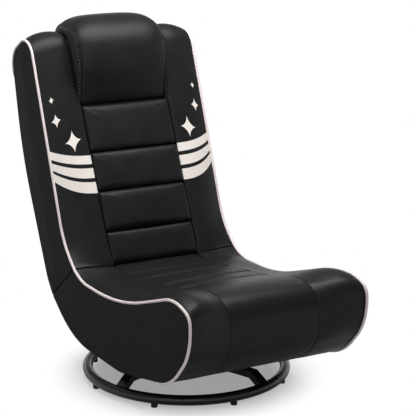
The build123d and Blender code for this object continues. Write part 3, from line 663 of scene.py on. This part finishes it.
# Side panels.
# Flat leatherette over thin wadding, one on each side of the seat and one on each
# side of the back, meeting in the mitre seam and edged by the piping.
PANEL_OUT = 4.0
PANEL_TUCK = 7
PANEL_STEPS = 70
PANEL_COLUMNS = 26
MITRE_LOW = 163              # how far down the mitre the panels reach from the fold
SEAT_TOP = [(48, -17, 110)] + LIP_PIPED[4:0:-1]
SEAT_UNDER = [(-8, -184.5, 300), (262, -184.5, 250), (513, -133, 170)]
SEAT_NOSE = (559.7, -82.3)
BACK_REAR = [(0, 172, 70), (330, 203, 850), (592, 163, 56)]
BACK_TOP = (606, 76)
side_leatherette = leatherette("side_leatherette", (0.0098, 0.0098, 0.0101), (0.0140, 0.0140, 0.0143),
                               gloss=(0.60, 0.72), shine=0.06)


def even_points(line, shares):
    """Points at shares of a line's length."""
    run = lengths(line)
    points = []
    i = 0
    for share in shares:
        want = share * run[-1]
        while i < len(run) - 2 and run[i + 1] < want:
            i += 1
        gap = run[i + 1] - run[i]
        points.append(line[i].lerp(line[i + 1], (want - run[i]) / gap if gap else 0.0))
    return points


def side_panel(name, side, front_corners, rear_corners):
    """A panel between two edges that start on the mitre and end at one point."""
    front = follow(front_corners, span_counts(front_corners, 4.0))
    rear = follow(rear_corners, span_counts(rear_corners, 4.0))
    border = front + rear[::-1]
    shares = eased_shares(PANEL_STEPS)
    rows = []
    for a, b in zip(even_points(front, shares), even_points(rear, shares)):
        row = []
        for across in eased_shares(PANEL_COLUMNS):
            p = a.lerp(b, across)
            edge = 1e9
            for c, d in zip(border, border[1:] + border[:1]):
                span = d - c
                f = min(1.0, max(0.0, (p - c).dot(span) / max(span.length_squared, 1e-9)))
                edge = min(edge, (p - c - span * f).length)
            out = PANEL_OUT - edge_roll(edge, 7, 5) + 3.0 * ease(edge / 90)
            out += slack(side * 300, p.x, p.y, 0.8 * ease(edge / 30))
            row.append((side * (EDGE_X + out), p.x, p.y))
        skirt = [(side * (EDGE_X - PANEL_TUCK), q[1], q[2]) for q in (row[0], row[-1])]
        rows.append([skirt[0]] + row + [skirt[1]])
    rows.insert(0, [(side * (EDGE_X - PANEL_TUCK), q[1], q[2]) for q in rows[0]])
    return grid_piece(name, rows, flip=side < 0)


for side, name in ((-1, "left"), (1, "right")):
    front = [on_mitre(5, 0.5), on_back(13.6, -0.3, 2)]
    front += [on_back(*corner) for corner in BACK_PIPED[:2] + [BACK_TOP]]
    rear = [on_mitre(MITRE_LOW, 0.5)]
    rear += [on_back(*corner) for corner in BACK_REAR + [BACK_TOP]]
    panel = side_panel(f"back_side_cover_{name}", side, front, rear)
    finish_piece(panel, side_leatherette, "back", "side_leatherette", f"back_side_panel_{name}")
    top = [on_mitre(5, -0.5), on_seat(13.6, -1, 2)]
    top += [on_seat(*corner) for corner in SEAT_TOP + [SEAT_NOSE]]
    under = [on_mitre(MITRE_LOW, -0.5)]
    under += [on_seat(*corner) for corner in SEAT_UNDER + [SEAT_NOSE]]
    panel = side_panel(f"seat_side_cover_{name}", side, top, under)
    finish_piece(panel, side_leatherette, "seat", "side_leatherette", f"seat_side_panel_{name}")
    patch_rows = [[(side * (EDGE_X - 1.5 + 0.6 * k), *on_mitre(w, off)[:2]) for off in range(-20, 21, 2)]
                  for k, w in enumerate((16, 8, 0, -4))]
    patch = grid_piece(f"fold_gusset_{name}", patch_rows, flip=side > 0)
    finish_piece(patch, side_leatherette, "fold", "side_leatherette")

# Pale piping.
# A cord wrapped in pinkish off-white leatherette, sewn into the edge seam in one
# length on each side, from under the lip through the fold to the rear of the back.
PIPE_R = 3.5
piping_skin, tree, shader, place = new_material("pale_piping")
mottle = noise_node(tree, place, 140, 4)
tree.links.new(shades(tree, mottle, (0.78, 0.68, 0.67), (0.86, 0.77, 0.755)), shader.inputs["Base Color"])
tree.links.new(between(tree, mottle, 0.42, 0.58), shader.inputs["Roughness"])
tree.links.new(bump(tree, noise_node(tree, place, 900, 2), 0.2, 0.0003), shader.inputs["Normal"])
shader.inputs["Specular IOR Level"].default_value = 0.35


def round_cord(name, points, radius, sides=14):
    """A tube along points in millimetres, with rounded ends."""
    rows = []
    count = len(points)
    for i, p in enumerate(points):
        way = (points[min(i + 1, count - 1)] - points[max(i - 1, 0)]).normalized()
        one = way.cross(Vector((1, 0, 0))).normalized()
        two = way.cross(one)
        size = radius * (0.02 if i in (0, count - 1) else 0.75 if i in (1, count - 2) else 1.0)
        rows.append([p + (one * math.cos(a) + two * math.sin(a)) * size
                     for a in (2 * math.pi * k / sides for k in range(sides + 1))])
    return grid_piece(name, rows)


for side, name in ((-1, "left"), (1, "right")):
    corners = side_corners(1.0)
    corners[0] = on_seat(444, -147.8)
    corners[-1] = on_back(530, 173.5)
    line = follow(corners, span_counts(corners, 4.0))
    middle_line = [Vector((side * (EDGE_X + 0.4), p.x, p.y)) for p in line]
    cord = round_cord(f"edge_piping_{name}", middle_line, PIPE_R)
    finish_piece(cord, piping_skin, "fold", "piping_pale", f"seat_piping_{name}", f"back_piping_{name}")

# Rear and underside covers.
# Plain black woven cloth, sewn along the edges and tucked into the mitre, so it
# also lines the two mitre faces that open when the back is folded forward.
woven, tree, shader, place = new_material("black_woven_cloth")


def threads(bands):
    """Threads of the weave that run side by side along one direction."""
    wave = tree.nodes.new("ShaderNodeTexWave")
    wave.bands_direction = bands
    wave.inputs["Scale"].default_value = 420
    wave.inputs["Distortion"].default_value = 0.6
    tree.links.new(place, wave.inputs["Vector"])
    return wave.outputs["Fac"]


def worked(tree, work, one, two):
    """One of the shader's sums with two values."""
    node = tree.nodes.new("ShaderNodeMath")
    node.operation = work
    tree.links.new(one, node.inputs[0])
    tree.links.new(two, node.inputs[1])
    return node.outputs["Value"]


weave = worked(tree, "MULTIPLY", threads("X"), threads("Z"))
fade = noise_node(tree, place, 18, 4)
cloth_colour = shades(tree, fade, (0.011, 0.011, 0.0115), (0.018, 0.018, 0.0185))
tree.links.new(cloth_colour, shader.inputs["Base Color"])
tree.links.new(between(tree, weave, 0.7, 0.95), shader.inputs["Roughness"])
tree.links.new(bump(tree, weave, 0.45, 0.0006), shader.inputs["Normal"])
shader.inputs["Specular IOR Level"].default_value = 0.25
CLOTH_COLUMNS = 48
LINING_OFF = 1.4             # the two linings stand this far off the middle of the mitre
MITRE_FACE = 175             # the last stretch of the rear cover lines the mitre and stays flat
REAR_EDGES = [on_back(534, 172), on_back(330, 203, 850), on_back(0, 172, 70),
              on_mitre(162, LINING_OFF, 5), on_mitre(15, LINING_OFF)]
UNDER_EDGES = [on_seat(440, -148.6), on_seat(262, -185, 250), on_seat(-8, -185, 300),
               on_mitre(162, -LINING_OFF, 5), on_mitre(15, -LINING_OFF)]
for name, node, body, corners, hand in (("rear_cloth_cover", "back_rear_cover", "back", REAR_EDGES, 1),
                                        ("under_cloth_cover", "seat_bottom_cover", "seat", UNDER_EDGES, -1)):
    line = follow(corners, span_counts(corners, 7.0))
    ways = inward(line, hand)
    run = lengths(line)
    columns = []
    for share in eased_shares(CLOTH_COLUMNS):
        x = (2 * share - 1) * (EDGE_X - 0.5)
        column = []
        for p, way, along in zip(line, ways, run):
            inner = ease((EDGE_X - abs(x)) / 60) * ease(along / 50)
            dip = max(edge_roll(EDGE_X - abs(x), 8, 5), edge_roll(along, 8, 4)) + 0.4
            if body == "back" and along < run[-1] - MITRE_FACE:
                dip -= slack(x, p.x, p.y, 2.2 * inner) + 1.5 * inner
            spot = p + way * dip
            column.append((x, spot.x, spot.y))
        columns.append(column)
    cloth_cover = grid_piece(name, columns, flip=hand > 0)
    finish_piece(cloth_cover, woven, body, "cover_cloth", node)

# Zip of the rear cover.
# A nylon tape with two rows of moulded teeth across the lower rear edge; the
# slider with its pull runs along it.
ZIP_UP = 70.0
ZIP_LONG = 420.0
ZIP_START = -ZIP_LONG / 2
TAPE_STEPS = 140
TAPE_ACROSS = (-5, -4, -2.5, -1, 0, 1, 2.5, 4, 5)
TEETH = 158
TOOTH_PITCH = 2.6
REAR_AT_FOLD = 173           # how far behind the fold axis the rear cover's straight run starts
zip_nylon, tree, shader, place = new_material("zip_nylon")
rub = noise_node(tree, place, 500, 3)
tree.links.new(shades(tree, rub, (0.016, 0.016, 0.016), (0.028, 0.028, 0.027)), shader.inputs["Base Color"])
tree.links.new(between(tree, rub, 0.45, 0.65), shader.inputs["Roughness"])
tree.links.new(bump(tree, rub, 0.3, 0.0002), shader.inputs["Normal"])
rear_slope = (204 - REAR_AT_FOLD) / 330
zip_way = (Vector(on_back(100, 100 * rear_slope)[:2]) - Vector(on_back(0, 0)[:2])).normalized()
zip_out = Vector((zip_way.y, -zip_way.x))
zip_at = Vector(on_back(ZIP_UP, REAR_AT_FOLD + rear_slope * ZIP_UP)[:2])


def on_zip(x, up, out):
    """A point across, up and out of the zip."""
    p = zip_at + zip_way * up + zip_out * out
    return (x, p.x, p.y)


def blocks(name, boxes):
    """Rounded little blocks in one mesh, each by its centre and half sizes across, up and out of the zip."""
    mesh = bpy.data.meshes.new(name)
    form = bmesh.new()
    for (x, up, out), (a, b, c) in boxes:
        made = bmesh.ops.create_cube(form, size=2.0)["verts"]
        for v in made:
            v.co = Vector(on_zip(x + v.co.x * a, up + v.co.y * b, out + v.co.z * c)) / 1000
    bmesh.ops.recalc_face_normals(form, faces=form.faces)
    bmesh.ops.bevel(form, geom=form.edges[:], offset=0.00025, segments=2, affect="EDGES")
    form.to_mesh(mesh)
    form.free()
    mesh.shade_smooth()
    piece = bpy.data.objects.new(name, mesh)
    bpy.context.scene.collection.objects.link(piece)
    return piece


tape_rows = []
for i in range(TAPE_STEPS + 1):
    x = ZIP_START + ZIP_LONG * i / TAPE_STEPS
    tape_rows.append([on_zip(x, up, 0.9 + 0.3 * math.cos(up * 0.6)) for up in TAPE_ACROSS])
tape = grid_piece("zip_tape_cloth", tape_rows)
finish_piece(tape, woven, "back", "cover_cloth", "zip_tape")
tooth_places = [(ZIP_START + 4 + TOOTH_PITCH * k, 0.75 if k % 2 else -0.75, 1.15) for k in range(TEETH)]
teeth = blocks("zip_teeth", [(tooth, (0.95, 1.3, 0.45)) for tooth in tooth_places])
finish_piece(teeth, zip_nylon, "back", "cover_cloth")
slider_x = ZIP_START + 5.5 + 2
lower_wing = ((slider_x, 0, 2.5), (5.2, 4.2, 0.8))
upper_wing = ((slider_x, 0, 4.2), (5.2, 4.4, 0.8))
post = ((slider_x, 0, 3.3), (2.0, 1.2, 1.0))
bridge = ((slider_x, 3.6, 5.4), (1.6, 1.6, 0.5))
pull = ((slider_x, 13.5, 5.6), (3.2, 9.6, 0.55))
slider = blocks("zip_slider_and_pull", [lower_wing, upper_wing, post, bridge, pull])
finish_piece(slider, zip_nylon, "zip", "zip_metal", "zip_slider")

# Headrest pillow with its mesh gussets.
# A plump leatherette pillow that caps the top of the back, top-stitched along its
# front edges and joined to the back at both sides by ribbed black mesh.
PILLOW_HALF = 123.0
PILLOW_CROWN = 22.0
PILLOW_COLUMNS = 44
# Corners of the pillow's outline at its sides, and how far each moves, and its
# bend opens, for every millimetre that the pillow swells towards its middle.
PILLOW_ROWS = [((515, -20, 100), (0, -0.8, 0)), ((596, -18, 58), (1.6, -0.95, 2.3)),
               ((645, 82, 40), (0.86, 0.1, 0))]
PILLOW_FOOT = (412, 34)
PILLOW_HEM = (622, 124)
PILLOW_INSIDE = [on_back(611, 121), on_back(617, 90), on_back(618, 62),
                 on_back(606, 40), on_back(560, 34), on_back(420, 36)]
WELTS = ((0.4, 2.4), (5.2, -0.6))    # in from the pillow's side, and down into it
WELT_R = 2.3


def pillow_corners(share):
    """Outline of the pillow, from its sides at share 0 to its full middle at share 1."""
    swell = PILLOW_CROWN * share
    corners = [on_back(*PILLOW_FOOT)]
    for (up, rear, bend), (more_up, more_rear, rounder) in PILLOW_ROWS:
        corners.append(on_back(up + swell * more_up, rear + swell * more_rear, bend + swell * rounder))
    return corners + [on_back(*PILLOW_HEM)]


pillow_counts = span_counts(pillow_corners(1.0), 6.0)
loops = []
for step in eased_shares(PILLOW_COLUMNS):
    across = 2 * step - 1
    x = across * (PILLOW_HALF - 0.5)
    line = follow(pillow_corners(1 - abs(across) ** 5), pillow_counts)
    ways = inward(line)
    dip = edge_roll(PILLOW_HALF - abs(x), 7, 5)
    loop = [(x, p.x + way.x * dip, p.y + way.y * dip) for p, way in zip(line, ways)]
    loops.append(loop + [(x, *p[:2]) for p in PILLOW_INSIDE] + [loop[0]])
pillow = grid_piece("headrest_pillow", loops, flip=True)
form = bmesh.new()
form.from_mesh(pillow.data)
bmesh.ops.remove_doubles(form, verts=form.verts[:], dist=0.00001)
bmesh.ops.holes_fill(form, edges=[e for e in form.edges if e.is_boundary])
bmesh.ops.recalc_face_normals(form, faces=form.faces)
form.to_mesh(pillow.data)
form.free()
pillow.data.shade_smooth()


def tucked(p):
    up, rear = up_and_rear(p)
    return (rear > 26 and up < 612) or abs(p.x) > PILLOW_HALF - 4


blow_up(pillow, voxel=0.005, pressure=3.0, most=4.0, sewn=tucked)
finish_piece(pillow, black_leatherette, "back", "leatherette_on_foam", "headrest_cushion")

for side, name in ((-1, "left"), (1, "right")):
    line = follow(pillow_corners(0.0), pillow_counts)
    ways = inward(line)
    for k, (off, dip) in enumerate(WELTS, start=1):
        x = side * (PILLOW_HALF - off)
        sewn_line = [Vector((x, p.x + way.x * dip, p.y + way.y * dip))
                     for p, way in zip(line[2:-2], ways[2:-2])]
        welt = round_cord(f"pillow_welt_{name}_{k}", sewn_line, WELT_R, sides=10)
        finish_piece(welt, black_leatherette, "back", "leatherette_on_foam")

mesh_cloth, tree, shader, place = new_material("black_mesh_cloth")
holes = tree.nodes.new("ShaderNodeTexVoronoi")
holes.inputs["Scale"].default_value = 520
tree.links.new(place, holes.inputs["Vector"])
# Painted shade and light: the rib height turns the mesh near black in the grooves between the ribs and grey
# on their crests, as the ribs would be shaded and lit.
ribs = tree.nodes.new("ShaderNodeAttribute")
ribs.attribute_name = "rib_height"
painted_rib_shade = shades(tree, ribs.outputs["Fac"], (0.003, 0.003, 0.003), (0.080, 0.080, 0.082))
tree.links.new(painted_rib_shade, shader.inputs["Base Color"])
tree.links.new(between(tree, holes.outputs["Distance"], 0.6, 0.9), shader.inputs["Roughness"])
tree.links.new(bump(tree, holes.outputs["Distance"], 0.6, 0.0008), shader.inputs["Normal"])
shader.inputs["Specular IOR Level"].default_value = 0.3
GUSSET_ACROSS = (0.0, 0.04, 0.1, 0.2, 0.35, 0.5, 0.65, 0.8, 0.92, 1.0)
GUSSET_STEPS = 420
GUSSET_BULGE = 3.2
RIB_STEPS = 12
RIB_HIGH = 2.6
core_line = [on_back(414, 30), on_back(624, 36, 48), on_back(606, 124)]
for side, name in ((-1, "left"), (1, "right")):
    outer = follow(pillow_corners(0.0), pillow_counts)
    inner = follow(core_line, span_counts(core_line, 6.0))
    shares = [k / GUSSET_STEPS for k in range(GUSSET_STEPS + 1)]
    rows = []
    heights = []
    for k, (a, b) in enumerate(zip(even_points(outer, shares), even_points(inner, shares))):
        wave = math.cos(2 * math.pi * k / RIB_STEPS)
        # The rib height of each row, which the mesh's material turns into painted shade in the grooves and
        # painted light on the crests.
        heights += [0.5 + 0.5 * wave] * len(GUSSET_ACROSS)
        row = []
        for across in GUSSET_ACROSS:
            p = a.lerp(b, 0.06 + 0.94 * across)
            bulge = GUSSET_BULGE * math.sin(math.pi * min(1, across + 0.15))
            bulge += RIB_HIGH * wave * math.sin(math.pi * across) ** 0.5
            row.append((side * (PILLOW_HALF - 0.5 + bulge), p.x, p.y))
        rows.append(row)
    gusset = grid_piece(f"mesh_gusset_{name}", rows, flip=side > 0)
    gusset.data.attributes.new("rib_height", "FLOAT", "POINT").data.foreach_set("value", heights)
    finish_piece(gusset, mesh_cloth, "back", "gusset_mesh", f"headrest_gusset_{name}")

# Studio.
# A pale floor without an edge in view, a soft dome of light that is brighter overhead
# and shows white at its foot, one wide lamp above and a weak fill in front.
floor_mesh = bpy.data.meshes.new("studio_floor")
floor_mesh.from_pydata([(-40, -40, 0), (40, -40, 0), (40, 40, 0), (-40, 40, 0)], [], [(0, 1, 2, 3)])
floor = bpy.data.objects.new("studio_floor", floor_mesh)
bpy.context.scene.collection.objects.link(floor)
paper, tree, shader, place = new_material("floor_paper")
fibre = noise_node(tree, place, 3, 2)
tree.links.new(shades(tree, fibre, (0.60, 0.60, 0.60), (0.62, 0.62, 0.62)), shader.inputs["Base Color"])
shader.inputs["Roughness"].default_value = 0.9
shader.inputs["Specular IOR Level"].default_value = 0.1
far = tree.nodes.new("ShaderNodeVectorMath")
far.operation = "LENGTH"
tree.links.new(place, far.inputs[0])
path = tree.nodes.new("ShaderNodeLightPath")


def softly(tree, value, start, end, low, high):
    """Goes from low to high, with a soft start and end, while a value goes from start to end."""
    node = tree.nodes.new("ShaderNodeMapRange")
    node.interpolation_type = "SMOOTHSTEP"
    node.inputs["From Min"].default_value = start
    node.inputs["From Max"].default_value = end
    node.inputs["To Min"].default_value = low
    node.inputs["To Max"].default_value = high
    tree.links.new(value, node.inputs["Value"])
    return node.outputs["Result"]


def whitening(ray, near, wide, least):
    """How white the paper is to a kind of ray: its share rises from least to 1 between two distances."""
    paleness = softly(tree, far.outputs["Value"], near, wide, least, 1.0)
    return worked(tree, "MULTIPLY", paleness, path.outputs[ray])


share = whitening("Is Camera Ray", 0.20, 0.36, 0.32)
for ray in ("Is Glossy Ray", "Is Transmission Ray"):
    share = worked(tree, "MAXIMUM", share, whitening(ray, 0.45, 1.6, 0.10))
white = tree.nodes.new("ShaderNodeEmission")
white.inputs["Strength"].default_value = 1.0
mixed = tree.nodes.new("ShaderNodeMixShader")
tree.links.new(share, mixed.inputs["Fac"])
tree.links.new(shader.outputs["BSDF"], mixed.inputs[1])
tree.links.new(white.outputs["Emission"], mixed.inputs[2])
tree.links.new(mixed.outputs["Shader"], tree.nodes["Material Output"].inputs["Surface"])
floor_mesh.materials.append(paper)

world = bpy.data.worlds.new("studio_dome")
world.use_nodes = True
tree = world.node_tree
place = tree.nodes.new("ShaderNodeTexCoord")
split = tree.nodes.new("ShaderNodeSeparateXYZ")
tree.links.new(place.outputs["Generated"], split.inputs["Vector"])
path = tree.nodes.new("ShaderNodeLightPath")
seen = path.outputs["Is Camera Ray"]
for ray in ("Is Glossy Ray", "Is Transmission Ray"):
    seen = worked(tree, "MAXIMUM", seen, path.outputs[ray])
white_band = worked(tree, "MULTIPLY", seen, softly(tree, split.outputs["Z"], 0.15, 0.40, 1.0, 0.0))
dome_light = worked(tree, "MAXIMUM", white_band, between(tree, split.outputs["Z"], 0.05, 0.40))
tree.links.new(dome_light, tree.nodes["Background"].inputs["Strength"])
tree.nodes["Background"].inputs["Color"].default_value = (1, 1, 1, 1)
bpy.context.scene.world = world

LAMPS = (("overhead_softbox", 1.3, 0.7, 29, (0, 0.10, 1.8), (0, 0.07, 0)),
         ("front_fill", 2.4, 1.8, 12, (-1.7, -2.6, 1.5), (0, 0, 0.4)))
for name, wide, deep, watts, stand, aim in LAMPS:
    lamp = bpy.data.lights.new(name, "AREA")
    lamp.shape = "RECTANGLE"
    lamp.size = wide
    lamp.size_y = deep
    lamp.energy = watts
    softbox = bpy.data.objects.new(name, lamp)
    bpy.context.scene.collection.objects.link(softbox)
    softbox.location = stand
    softbox.rotation_euler = (Vector(aim) - softbox.location).to_track_quat("-Z", "Y").to_euler()

camera = bpy.data.objects.new("photo_camera", bpy.data.cameras.new("photo_camera"))
bpy.context.scene.collection.objects.link(camera)
camera.location = (-1.7171, -3.1408, 1.3342)
camera.rotation_euler = Vector((0.461, 0.8485, -0.2595)).to_track_quat("-Z", "Y").to_euler()
camera.data.lens = 131.17
camera.data.sensor_width = 36.0
camera.data.shift_x = 0.0610
camera.data.shift_y = 0.0492
bpy.context.scene.camera = camera
bpy.context.scene.view_settings.view_transform = "Standard"
